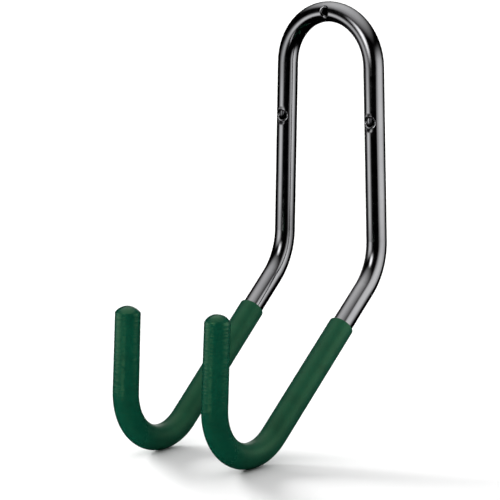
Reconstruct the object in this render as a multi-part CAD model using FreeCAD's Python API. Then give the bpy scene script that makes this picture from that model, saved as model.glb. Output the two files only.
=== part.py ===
import FreeCAD, Part
import math
import os

Vector = FreeCAD.Vector

# Wall hook bent from one length of round tube, with a dipped vinyl sleeve on each of its two arms.
# X runs across the wall, Y into it and Z up. The wall is the plane y = 0, and the origin lies on it,
# halfway between the two leg screws.
# Sizes are in millimetres and angles in degrees. Bend radii are those of the tube's centreline.

# Tube
tube_diameter = 12.7
tube_wall = 1.5
loop_radius = 33.0
leg_length = 106.3
leg_splay = 1.5  # each leg leans outwards from the vertical
elbow_radius = 37.0
arm_swing = 49.7  # angle between the arm and straight down
arm_toe_in = 0.8  # the arms close in on each other, seen from above
arm_length = 114.3
hook_radius = 31.8
tip_lean = 3.5  # the upright tips lean back towards the wall
left_tip_length = 46.9  # straight run from the hook's bend to the tube's cut end
right_tip_length = 49.6

# Screw holes, drilled front to back through both walls of the tube
leg_hole_diameter = 5.4
crown_hole_diameter = 4.4
screw_hole_rounding = 1.2  # rim on the front, rolled inwards
leg_hole_drop = 33.3  # from the loop's lower end, along the leg

# Vinyl sleeves
grip_wall = 1.4
grip_lip_rounding = 0.9
left_grip_start = 26.4  # from the elbow's lower end, along the arm
right_grip_start = 29.2
grip_tip_diameter = 15.1  # the sleeve narrows a little towards its closed end
left_dome_height = 3.9
left_dome_rounding = 0.8
right_dome_height = 4.9
right_dome_rounding = 3.0

tube_radius = tube_diameter / 2
bore_radius = tube_radius - tube_wall
grip_radius = tube_radius + grip_wall
grip_tip_radius = grip_tip_diameter / 2
splay = math.radians(leg_splay)
loop_end_x = loop_radius * math.cos(splay)
leg_hole_x = loop_end_x + leg_hole_drop * math.sin(splay)
loop_end_z = leg_hole_drop * math.cos(splay)
loop_centre_z = loop_end_z - loop_radius * math.sin(splay)
drill_overrun = tube_radius  # how far a screw hole's cutter reaches past the tube on each side
same_place = 0.01  # points closer than this count as one


class Straight:
    # A straight run of the centreline.
    def __init__(self, start, along, length):
        self.start = start
        self.along = along
        self.length = length
        self.end = start + along * length

    def rod(self, radius, end_radius=None):
        if end_radius is None:
            return Part.makeCylinder(radius, self.length, self.start, self.along)
        return Part.makeCone(radius, end_radius, self.length, self.start, self.along)

    def shortened(self, offset):
        return Straight(self.start + self.along * offset, self.along, self.length - offset)


class Bend:
    # A round bend of the centreline, turned about an axis by the right-hand rule.
    def __init__(self, start, along, axis, angle, radius):
        self.start = start
        self.along = along
        self.axis = axis
        self.angle = angle
        self.centre = start + axis.cross(along) * radius
        turn = FreeCAD.Rotation(axis, angle)
        self.end = self.centre + turn.multVec(start - self.centre)

    @classmethod
    def towards(cls, start, along, target, radius):
        axis = along.cross(target).normalize()
        return cls(start, along, axis, math.degrees(along.getAngle(target)), radius)

    def rod(self, radius):
        disc = Part.Face(Part.Wire(Part.makeCircle(radius, self.start, self.along)))
        return disc.revolve(self.centre, self.axis, self.angle)


class Limb:
    # One half of the hook below the loop: leg, elbow, arm, hook bend and upright tip.
    def __init__(self, side, tip_length):
        swing = math.radians(arm_swing)
        toe = math.radians(arm_toe_in)
        lean = math.radians(tip_lean)
        down = Vector(side * math.sin(splay), 0, -math.cos(splay))
        reach = Vector(-side * math.sin(toe), -math.cos(toe), 0) * math.sin(swing)
        forward = reach + Vector(0, 0, -math.cos(swing))
        upward = Vector(0, math.sin(lean), math.cos(lean))
        self.leg = Straight(Vector(side * loop_end_x, -tube_radius, loop_end_z), down, leg_length)
        self.elbow = Bend.towards(self.leg.end, down, forward, elbow_radius)
        self.arm = Straight(self.elbow.end, forward, arm_length)
        self.hook = Bend.towards(self.arm.end, forward, upward, hook_radius)
        self.tip = Straight(self.hook.end, upward, tip_length)

    def runs(self):
        return [self.leg, self.elbow, self.arm, self.hook, self.tip]


def joined(solids):
    return solids[0].multiFuse(solids[1:]).removeSplitter()


def front_rims(shape, x, z, radius):
    # Outer edges of a screw hole on the side that faces away from the wall.
    rims = []
    for edge in shape.Edges:
        reach = max(math.hypot(v.X - x, v.Z - z) for v in edge.Vertexes)
        in_front = edge.CenterOfMass.y < -tube_radius - bore_radius
        if in_front and reach < radius + same_place:
            rims.append(edge)
    return rims


def hook_tube(limbs):
    leg = limbs[0].leg
    loop = Bend(leg.start, leg.along * -1, Vector(0, 1, 0), 180 - 2 * leg_splay, loop_radius)
    runs = [loop] + [run for limb in limbs for run in limb.runs()]
    tube = joined([run.rod(tube_radius) for run in runs])
    tube = tube.cut(joined([run.rod(bore_radius) for run in runs]))
    screw_holes = [
        (0, loop_centre_z + loop_radius, crown_hole_diameter / 2),
        (-leg_hole_x, 0, leg_hole_diameter / 2),
        (leg_hole_x, 0, leg_hole_diameter / 2),
    ]
    for x, z, radius in screw_holes:
        drill_start = Vector(x, -tube_diameter - drill_overrun, z)
        drill_length = tube_diameter + 2 * drill_overrun
        tube = tube.cut(Part.makeCylinder(radius, drill_length, drill_start, Vector(0, 1, 0)))
    rims = [edge for hole in screw_holes for edge in front_rims(tube, *hole)]
    return tube.makeFillet(screw_hole_rounding, rims)


def domed_end(tip, height):
    # Low spherical cap on the end of the tip, drawn flat and turned about the tip's own axis.
    side_way = tip.along.cross(Vector(1, 0, 0)).normalize()
    shoulder = tip.end + side_way * grip_tip_radius
    apex = tip.end + tip.along * height
    cap_radius = (grip_tip_radius ** 2 + height ** 2) / (2 * height)
    half_angle = math.asin(grip_tip_radius / cap_radius) / 2
    cap_centre = apex - tip.along * cap_radius
    midway = cap_centre + (tip.along * math.cos(half_angle) + side_way * math.sin(half_angle)) * cap_radius
    outline = Part.Wire([
        Part.LineSegment(tip.end, shoulder).toShape(),
        Part.Arc(shoulder, midway, apex).toShape(),
        Part.LineSegment(apex, tip.end).toShape(),
    ])
    return Part.Face(outline).revolve(tip.end, tip.along, 360)


def round_edges(shape, centre, radius):
    # Full circles of one radius about one point.
    return [edge for edge in shape.Edges
            if not edge.Degenerated and isinstance(edge.Curve, Part.Circle)
            and abs(edge.Curve.Radius - radius) < same_place
            and edge.Curve.Center.distanceToPoint(centre) < same_place]


def grip(limb, start, dome_height, dome_rounding):
    covered = limb.arm.shortened(start)
    sleeve = joined([
        covered.rod(grip_radius),
        limb.hook.rod(grip_radius),
        limb.tip.rod(grip_radius, grip_tip_radius),
        domed_end(limb.tip, dome_height),
    ])
    sleeve = sleeve.makeFillet(grip_lip_rounding, round_edges(sleeve, covered.start, grip_radius))
    sleeve = sleeve.makeFillet(dome_rounding, round_edges(sleeve, limb.tip.end, grip_tip_radius))
    tube_inside = joined([run.rod(tube_radius) for run in (covered, limb.hook, limb.tip)])
    return sleeve.cut(tube_inside)


left = Limb(-1, left_tip_length)
right = Limb(1, right_tip_length)
nodes = {
    "hook_tube": hook_tube([left, right]),
    "left_grip": grip(left, left_grip_start, left_dome_height, left_dome_rounding),
    "right_grip": grip(right, right_grip_start, right_dome_height, right_dome_rounding),
}
os.makedirs("parts", exist_ok=True)
for name, shape in nodes.items():
    box = shape.BoundBox
    print(name, "valid", shape.isValid(), "solids", len(shape.Solids), "volume", round(shape.Volume, 1),
          "x", round(box.XMin, 2), round(box.XMax, 2), "y", round(box.YMin, 2), round(box.YMax, 2),
          "z", round(box.ZMin, 2), round(box.ZMax, 2))
    shape.exportStep("parts/" + name + ".step")
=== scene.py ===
import math
import bpy
from mathutils import Matrix, Vector


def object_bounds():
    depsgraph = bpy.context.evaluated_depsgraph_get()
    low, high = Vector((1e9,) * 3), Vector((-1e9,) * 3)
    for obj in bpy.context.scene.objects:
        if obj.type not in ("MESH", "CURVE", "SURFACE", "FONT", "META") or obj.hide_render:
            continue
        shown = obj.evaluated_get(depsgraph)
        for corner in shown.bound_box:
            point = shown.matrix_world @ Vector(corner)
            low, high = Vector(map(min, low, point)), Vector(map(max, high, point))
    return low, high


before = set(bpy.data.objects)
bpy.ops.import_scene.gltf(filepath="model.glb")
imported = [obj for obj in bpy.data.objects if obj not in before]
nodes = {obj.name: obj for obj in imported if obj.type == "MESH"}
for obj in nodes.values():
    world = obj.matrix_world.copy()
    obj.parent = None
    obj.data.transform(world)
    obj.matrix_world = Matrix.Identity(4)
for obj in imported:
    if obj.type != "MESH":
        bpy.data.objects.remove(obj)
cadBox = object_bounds()
scene = bpy.context.scene
scene.view_settings.view_transform = "Standard"
mm = 0.001
floorHeight = cadBox[0].z
print("frame loaded:", ", ".join(sorted(nodes)))


def hexColour(text):  # sRGB hex to linear RGBA
    channels = [int(text[i:i + 2], 16) / 255 for i in (1, 3, 5)]
    return [c / 12.92 if c <= 0.04045 else ((c + 0.055) / 1.055) ** 2.4 for c in channels] + [1.0]


def addNode(tree, kind, settings=None, links=None):  # settings name sockets or properties
    node = tree.nodes.new(kind)
    for name, value in (settings or {}).items():
        if isinstance(name, int) or name in node.inputs:
            node.inputs[name].default_value = value
        else:
            setattr(node, name, value)
    for name, (source, output) in (links or {}).items():
        tree.links.new(source.outputs[output], node.inputs[name])
    return node


def newMaterial(name):
    material = bpy.data.materials.new(name)
    material.use_nodes = True
    material.node_tree.nodes.clear()
    return material, material.node_tree


# Camera, as far off and as long as the photo's slight perspective asks
photoCamera = {
    "azimuth": 39.331,
    "elevation": 10.1,
    "roll": -0.317,
    "distance": 1.397,
    "target": (-64.47 * mm, -6.35 * mm, -89.73 * mm),
    "lens": 156.51,
}


def placeCamera(spec):
    azimuth, elevation, roll = (math.radians(spec[key]) for key in ("azimuth", "elevation", "roll"))
    across = Vector((math.cos(azimuth), math.sin(azimuth), 0))
    level = Vector((math.sin(azimuth), -math.cos(azimuth), 0))
    backward = level * math.cos(elevation) + Vector((0, 0, math.sin(elevation)))
    upward = backward.cross(across)
    sideAxis = across * math.cos(roll) + upward * math.sin(roll)
    topAxis = upward * math.cos(roll) - across * math.sin(roll)
    data = bpy.data.cameras.new("photoCamera")
    data.lens = spec["lens"]
    data.sensor_width = 36
    data.clip_end = 50
    camera = bpy.data.objects.new("photoCamera", data)
    scene.collection.objects.link(camera)
    stand = Matrix((sideAxis, topAxis, backward)).transposed().to_4x4()
    stand.translation = Vector(spec["target"]) + backward * spec["distance"]
    camera.matrix_world = stand
    scene.camera = camera


placeCamera(photoCamera)
print("camera placed")

# Studio, seen from the camera: azimuth grows to the right, and 0 is behind the camera
studio = {
    "aim": (0, -30 * mm, -40 * mm),
    "fill": 0.3,
    "panels": {  # distance and height are from the aim, in metres
        "rightSoftbox": {"azimuth": 69, "distance": 0.25, "height": 0.02,
                         "size": (0.52, 0.38), "radiance": 1.6, "fade": (0.44, 0.38)},
        "leftCard": {"azimuth": -77, "distance": 0.37, "height": -0.035,
                     "size": (0.53, 0.32), "radiance": 1.6, "fade": (0.5, 0.45)},
        "keySoftbox": {"azimuth": -41, "distance": 0.43, "height": 0.21,
                       "size": (0.38, 0.35), "radiance": 3.8, "fade": (0.5, 0.44)},
        "tipCard": {"azimuth": -38, "distance": 0.326, "height": -0.125,
                    "size": (0.15, 0.055), "radiance": 1.8, "fade": (0.3, 0.4)},
        "rearCard": {"azimuth": 180, "distance": 0.6, "height": 0,
                     "size": (0.32, 0.7), "radiance": 2.4, "fade": (0.4, 0.4)},
    },
    "ceiling": {"side": -0.125, "near": -0.23, "height": 0.775,
                "size": (2.2, 2.47), "radiance": 1.32, "fade": (0.48, 0.5)},
    "floorLamps": {  # together they bring the paper just over white
        "backLamp": {"azimuth": -140, "elevation": 14, "spread": 34, "strength": 8.7},
        "topLamp": {"azimuth": 180, "elevation": 80, "spread": 130, "strength": 1.6},
    },
    "floorSize": 30.0,
    "floorColour": "#eeeeee",
    "flagRadius": 1.9,
    "flagHeight": 2.2,
    "flagColour": "#060606",
}


def studioDirection(azimuth, elevation):
    turn = math.radians(photoCamera["azimuth"] + azimuth)
    rise = math.radians(elevation)
    return Vector((math.sin(turn) * math.cos(rise), -math.cos(turn) * math.cos(rise), math.sin(rise)))


litBySoftboxes = bpy.data.collections.new("litBySoftboxes")  # the hook alone
litByFloorLamps = bpy.data.collections.new("litByFloorLamps")  # the paper alone, with the hook's shadow
for piece in nodes.values():
    litBySoftboxes.objects.link(piece)


def addSoftbox(name, spec, offset, facing):  # diffuser cloth, bright in the middle and fading to its rim
    width, height = spec["size"]
    data = bpy.data.lights.new(name, "AREA")
    data.shape = "RECTANGLE"
    data.size = width
    data.size_y = height
    data.energy = spec["radiance"] * math.pi * width * height
    data.use_nodes = True
    tree = data.node_tree
    tree.nodes.clear()
    cloth = addNode(tree, "ShaderNodeNewGeometry")
    axes = addNode(tree, "ShaderNodeSeparateXYZ", links={"Vector": (cloth, "Parametric")})
    rims = []
    for axis, depth in zip("XY", spec["fade"]):
        fromRim = addNode(tree, "ShaderNodeMath", {"operation": "PINGPONG", 1: 0.5}, {0: (axes, axis)})
        rims.append(addNode(tree, "ShaderNodeMapRange", {
            "interpolation_type": "SMOOTHSTEP",
            "From Max": depth,
        }, {"Value": (fromRim, 0)}))
    soft = addNode(tree, "ShaderNodeMath", {"operation": "MULTIPLY"}, {0: (rims[0], 0), 1: (rims[1], 0)})
    glow = addNode(tree, "ShaderNodeEmission", {"Color": hexColour("#ffffff")}, {"Strength": (soft, 0)})
    addNode(tree, "ShaderNodeOutputLight", links={"Surface": (glow, 0)})
    softbox = bpy.data.objects.new(name, data)
    scene.collection.objects.link(softbox)
    softbox.location = Vector(studio["aim"]) + offset
    softbox.rotation_mode = "QUATERNION"
    softbox.rotation_quaternion = facing
    softbox.visible_camera = False
    softbox.light_linking.receiver_collection = litBySoftboxes


for panelName, panel in studio["panels"].items():
    away = studioDirection(panel["azimuth"], 0)
    panelOffset = away * panel["distance"] + Vector((0, 0, panel["height"]))
    addSoftbox(panelName, panel, panelOffset, away.to_track_quat("Z", "Y"))
ceiling = studio["ceiling"]
near = studioDirection(0, 0)
side = studioDirection(90, 0)
ceilingOffset = side * ceiling["side"] + near * ceiling["near"] + Vector((0, 0, ceiling["height"]))
ceilingFacing = Matrix((side, -near, Vector((0, 0, 1)))).transposed().to_quaternion()
addSoftbox("ceilingSoftbox", ceiling, ceilingOffset, ceilingFacing)

for lampName, lampSpec in studio["floorLamps"].items():
    lampData = bpy.data.lights.new(lampName, "SUN")
    lampData.angle = math.radians(lampSpec["spread"])
    lampData.energy = lampSpec["strength"]
    lamp = bpy.data.objects.new(lampName, lampData)
    scene.collection.objects.link(lamp)
    lamp.rotation_mode = "QUATERNION"
    lampDirection = studioDirection(lampSpec["azimuth"], lampSpec["elevation"])
    lamp.rotation_quaternion = lampDirection.to_track_quat("Z", "Y")
    lamp.visible_glossy = False
    lamp.light_linking.receiver_collection = litByFloorLamps

# White room: white to the eye and in reflections, a soft fill for the rest
world = bpy.data.worlds.new("whiteRoom")
world.use_nodes = True
scene.world = world
room = world.node_tree
room.nodes.clear()
rays = addNode(room, "ShaderNodeLightPath")
seen = addNode(room, "ShaderNodeMath", {"operation": "MAXIMUM"},
               {0: (rays, "Is Camera Ray"), 1: (rays, "Is Glossy Ray")})
shown = addNode(room, "ShaderNodeMath", {"operation": "MAXIMUM"},
                {0: (seen, 0), 1: (rays, "Is Transmission Ray")})
fill = addNode(room, "ShaderNodeBackground", {"Color": hexColour("#ffffff"), "Strength": studio["fill"]})
white = addNode(room, "ShaderNodeBackground", {"Color": hexColour("#ffffff"), "Strength": 1.0})
either = addNode(room, "ShaderNodeMixShader", links={0: (shown, 0), 1: (fill, 0), 2: (white, 0)})
addNode(room, "ShaderNodeOutputWorld", links={"Surface": (either, 0)})
print("studio lit")


def addStage(name, points, faces, material):
    mesh = bpy.data.meshes.new(name)
    mesh.from_pydata(points, [], faces)
    mesh.materials.append(material)
    piece = bpy.data.objects.new(name, mesh)
    scene.collection.objects.link(piece)
    return piece


# White paper floor, matte
paper, paperTree = newMaterial("whitePaper")
paperShade = addNode(paperTree, "ShaderNodeBsdfDiffuse", {"Color": hexColour(studio["floorColour"])})
addNode(paperTree, "ShaderNodeOutputMaterial", links={"Surface": (paperShade, 0)})
half = studio["floorSize"] / 2
paperCorners = [(x * half, y * half, floorHeight) for x, y in ((-1, -1), (1, -1), (1, 1), (-1, 1))]
litByFloorLamps.objects.link(addStage("floor", paperCorners, [(0, 1, 2, 3)], paper))

# Black flag cloth round the set, out of the picture: it gives the plated tube its dark edges
flagCloth, clothTree = newMaterial("blackFlagCloth")
clothShade = addNode(clothTree, "ShaderNodeBsdfDiffuse", {"Color": hexColour(studio["flagColour"])})
addNode(clothTree, "ShaderNodeOutputMaterial", links={"Surface": (clothShade, 0)})


def addFlag(name, points, faces):  # seen in reflections only
    flag = addStage(name, points, faces, flagCloth)
    flag.visible_camera = False
    flag.visible_diffuse = False
    flag.visible_shadow = False
    flag.visible_transmission = False


corners = 24
flagFoot = Vector((0, 0, floorHeight + 0.5 * mm))
foot = [studioDirection(360 * k / corners, 0) * studio["flagRadius"] + flagFoot for k in range(corners)]
head = [point + Vector((0, 0, studio["flagHeight"])) for point in foot]
following = [(k + 1) % corners for k in range(corners)]
sides = [(k, following[k], following[k] + corners, k + corners) for k in range(corners)]
addFlag("wallFlags", foot + head, sides + [tuple(range(corners, 2 * corners))])
addFlag("floorFlag", foot, [tuple(range(corners))])
print("floor and flags set")

# Nickel plate on drawn steel tube: a dark mirror, a little cloudy, with faint draw lines along its runs
nickelPlate = {
    "thin": "#8b8b8e",
    "thick": "#9c9c9d",
    "clouds": 14 * mm,
    "smudges": 5 * mm,
    "roughness": (0.09, 0.17),
    "drawLines": 0.9 * mm,  # really finer than 0.1 mm, drawn as wide as the render can show
    "lineRun": 40,  # times as long as they are wide
    "lineDepth": 0.006 * mm,
    "armSwing": math.radians(49.7),
    "elbow": (-75 * mm, -95 * mm),  # heights where the lines turn from the legs to the arms
    "legHoles": 33.86 * mm,  # off the middle, on both sides
    "dentDepth": 0.6 * mm,  # the wall gives a little where a leg's hole is pierced
    "dentWidth": (0, 4.3 * mm),
    "dentHeight": (2.8 * mm, 6.5 * mm),
    "dentFace": (-9 * mm, -7 * mm),  # on the front wall only
}
plate, plateTree = newMaterial("nickelPlatedSteel")
plateSpot = addNode(plateTree, "ShaderNodeTexCoord")
plateAxes = addNode(plateTree, "ShaderNodeSeparateXYZ", links={"Vector": (plateSpot, "Object")})
clouds = addNode(plateTree, "ShaderNodeTexNoise", {"Scale": 1 / nickelPlate["clouds"], "Detail": 3.0},
                 {"Vector": (plateSpot, "Object")})
plateTint = addNode(plateTree, "ShaderNodeMix", {
    "data_type": "RGBA",
    6: hexColour(nickelPlate["thin"]),
    7: hexColour(nickelPlate["thick"]),
}, {0: (clouds, 0)})
smudges = addNode(plateTree, "ShaderNodeTexNoise", {"Scale": 1 / nickelPlate["smudges"], "Detail": 4.0},
                  {"Vector": (plateSpot, "Object")})
polish = addNode(plateTree, "ShaderNodeMapRange", {
    "From Min": 0.35,
    "From Max": 0.7,
    "To Min": nickelPlate["roughness"][0],
    "To Max": nickelPlate["roughness"][1],
}, {"Value": (smudges, 0)})
lineScale = 1 / nickelPlate["drawLines"]
stretched = (lineScale, lineScale, lineScale / nickelPlate["lineRun"])
alongLegs = addNode(plateTree, "ShaderNodeMapping", {"Scale": stretched}, {"Vector": (plateSpot, "Object")})
swung = addNode(plateTree, "ShaderNodeMapping", {"Rotation": (nickelPlate["armSwing"], 0, 0)},
                {"Vector": (plateSpot, "Object")})
alongArms = addNode(plateTree, "ShaderNodeMapping", {"Scale": stretched}, {"Vector": (swung, 0)})
onArm = addNode(plateTree, "ShaderNodeMapRange", {
    "From Min": nickelPlate["elbow"][0],
    "From Max": nickelPlate["elbow"][1],
}, {"Value": (plateAxes, "Z")})
alongTube = addNode(plateTree, "ShaderNodeMix", {"data_type": "VECTOR"},
                    {0: (onArm, 0), 4: (alongLegs, 0), 5: (alongArms, 0)})
drawLines = addNode(plateTree, "ShaderNodeTexNoise", {"Scale": 1.0, "Detail": 2.0},
                    {"Vector": (alongTube, 1)})
drawn = addNode(plateTree, "ShaderNodeBump", {"Strength": 1.0, "Distance": nickelPlate["lineDepth"]},
                {"Height": (drawLines, 0)})
offMiddle = addNode(plateTree, "ShaderNodeMath", {"operation": "ABSOLUTE"}, {0: (plateAxes, "X")})
offHole = addNode(plateTree, "ShaderNodeMath", {"operation": "SUBTRACT", 1: nickelPlate["legHoles"]},
                  {0: (offMiddle, 0)})
sideways = addNode(plateTree, "ShaderNodeMath", {"operation": "ABSOLUTE"}, {0: (offHole, 0)})
upDown = addNode(plateTree, "ShaderNodeMath", {"operation": "ABSOLUTE"}, {0: (plateAxes, "Z")})
dentReaches = {"dentWidth": (sideways, 0), "dentHeight": (upDown, 0), "dentFace": (plateAxes, "Y")}
slopes = []
for key, source in dentReaches.items():
    slopes.append(addNode(plateTree, "ShaderNodeMapRange", {
        "interpolation_type": "SMOOTHSTEP",
        "From Min": nickelPlate[key][0],
        "From Max": nickelPlate[key][1],
        "To Min": 1.0,
        "To Max": 0.0,
    }, {"Value": source}))
hollow = addNode(plateTree, "ShaderNodeMath", {"operation": "MULTIPLY"},
                 {0: (slopes[0], 0), 1: (slopes[1], 0)})
dent = addNode(plateTree, "ShaderNodeMath", {"operation": "MULTIPLY"}, {0: (hollow, 0), 1: (slopes[2], 0)})
dented = addNode(plateTree, "ShaderNodeBump", {
    "invert": True,
    "Strength": 1.0,
    "Distance": nickelPlate["dentDepth"],
}, {"Height": (dent, 0), "Normal": (drawn, 0)})
plateShade = addNode(plateTree, "ShaderNodeBsdfPrincipled", {"Metallic": 1.0},
                     {"Base Color": (plateTint, 2), "Roughness": (polish, 0), "Normal": (dented, 0)})
addNode(plateTree, "ShaderNodeOutputMaterial", links={"Surface": (plateShade, 0)})
print("nickel plate mixed")

# Dipped vinyl, soft PVC drawn slowly from its bath: a satin skin with a fine pebble, glossier on the tips,
# where faint level rings remain
dippedVinyl = {
    "deep": "#01372a",
    "pale": "#074f3a",
    "drift": 9 * mm,
    "shine": "#b8ffac",  # the skin tints what it reflects
    "tipRoughness": (0.17, 0.27),  # the tips drain last
    "armRoughness": 0.48,
    "tips": (-138 * mm, -152 * mm),  # the arms end and the tips begin between these depths
    "pebble": 1.3 * mm,  # really about 0.4 mm, drawn as coarse as the render can show
    "pebbleDepth": 0.09 * mm,
    "ripple": 1.2 * mm,  # rings left as the bath drains
    "rippleRun": 5,  # times as wide as they are high
    "rippleDepth": 0.28 * mm,
}
vinyl, vinylTree = newMaterial("dippedVinyl")
vinylSpot = addNode(vinylTree, "ShaderNodeTexCoord")
vinylAxes = addNode(vinylTree, "ShaderNodeSeparateXYZ", links={"Vector": (vinylSpot, "Object")})
drift = addNode(vinylTree, "ShaderNodeTexNoise", {"Scale": 1 / dippedVinyl["drift"], "Detail": 3.0},
                {"Vector": (vinylSpot, "Object")})
vinylTint = addNode(vinylTree, "ShaderNodeMix", {
    "data_type": "RGBA",
    6: hexColour(dippedVinyl["deep"]),
    7: hexColour(dippedVinyl["pale"]),
}, {0: (drift, 0)})
onTip = addNode(vinylTree, "ShaderNodeMapRange", {
    "From Min": dippedVinyl["tips"][0],
    "From Max": dippedVinyl["tips"][1],
}, {"Value": (vinylAxes, "Y")})
pebble = addNode(vinylTree, "ShaderNodeTexNoise", {"Scale": 1 / dippedVinyl["pebble"], "Detail": 2.0},
                 {"Vector": (vinylSpot, "Object")})
tipSatin = addNode(vinylTree, "ShaderNodeMapRange", {
    "From Min": 0.3,
    "From Max": 0.7,
    "To Min": dippedVinyl["tipRoughness"][0],
    "To Max": dippedVinyl["tipRoughness"][1],
}, {"Value": (pebble, 0)})
satin = addNode(vinylTree, "ShaderNodeMix", {2: dippedVinyl["armRoughness"]},
                {0: (onTip, 0), 3: (tipSatin, 0)})
rippleScale = 1 / dippedVinyl["ripple"]
rippleAcross = rippleScale / dippedVinyl["rippleRun"]
ringed = addNode(vinylTree, "ShaderNodeMapping", {"Scale": (rippleAcross, rippleAcross, rippleScale)},
                 {"Vector": (vinylSpot, "Object")})
ripple = addNode(vinylTree, "ShaderNodeTexNoise", {"Scale": 1.0, "Detail": 1.0}, {"Vector": (ringed, 0)})
rippled = addNode(vinylTree, "ShaderNodeBump", {"Distance": dippedVinyl["rippleDepth"]},
                  {"Strength": (onTip, 0), "Height": (ripple, 0)})
pebbled = addNode(vinylTree, "ShaderNodeBump", {"Strength": 1.0, "Distance": dippedVinyl["pebbleDepth"]},
                  {"Height": (pebble, 0), "Normal": (rippled, 0)})
vinylShade = addNode(vinylTree, "ShaderNodeBsdfPrincipled", {
    "IOR": 1.5,
    "Specular Tint": hexColour(dippedVinyl["shine"]),
}, {"Base Color": (vinylTint, 2), "Roughness": (satin, 0), "Normal": (pebbled, 0)})
addNode(vinylTree, "ShaderNodeOutputMaterial", links={"Surface": (vinylShade, 0)})
print("dipped vinyl mixed")

for nodeName, finish in (("hook_tube", plate), ("left_grip", vinyl), ("right_grip", vinyl)):
    nodes[nodeName].data.materials.clear()
    nodes[nodeName].data.materials.append(finish)
print("finishes set")
